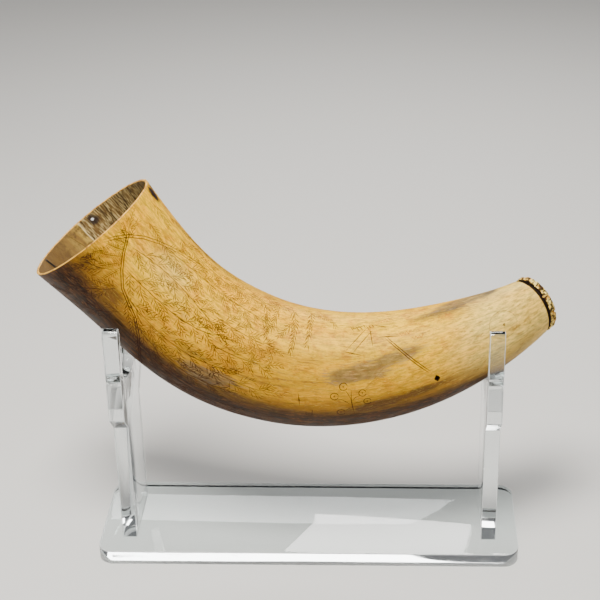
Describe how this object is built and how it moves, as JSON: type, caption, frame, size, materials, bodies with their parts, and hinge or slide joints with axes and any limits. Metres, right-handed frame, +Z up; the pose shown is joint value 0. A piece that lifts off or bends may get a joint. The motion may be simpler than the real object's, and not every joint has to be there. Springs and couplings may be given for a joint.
{
  "type": "powder horn on stand",
  "caption": "Curved hollow animal horn engraved with leafy sprays, grooved at its small end, lying in clear forked uprights on a clear foot plate.",
  "frame": {"origin": "centre of the foot plate's underside, on the surface it stands on", "axes": "+X from the horn's wide mouth to its small end, +Y to the far side, +Z up"},
  "size_m": [0.3193, 0.0826, 0.2468],
  "materials": {
    "horn": "worn satin animal horn, honey yellow to straw, with fine dark engraving",
    "clear_acrylic": "clear cast acrylic with polished edges"
  },
  "bodies": {
    "root": {"horn": "horn", "left_cradle": "clear_acrylic", "right_cradle": "clear_acrylic", "stand_base": "clear_acrylic"}
  },
  "joints": []
}
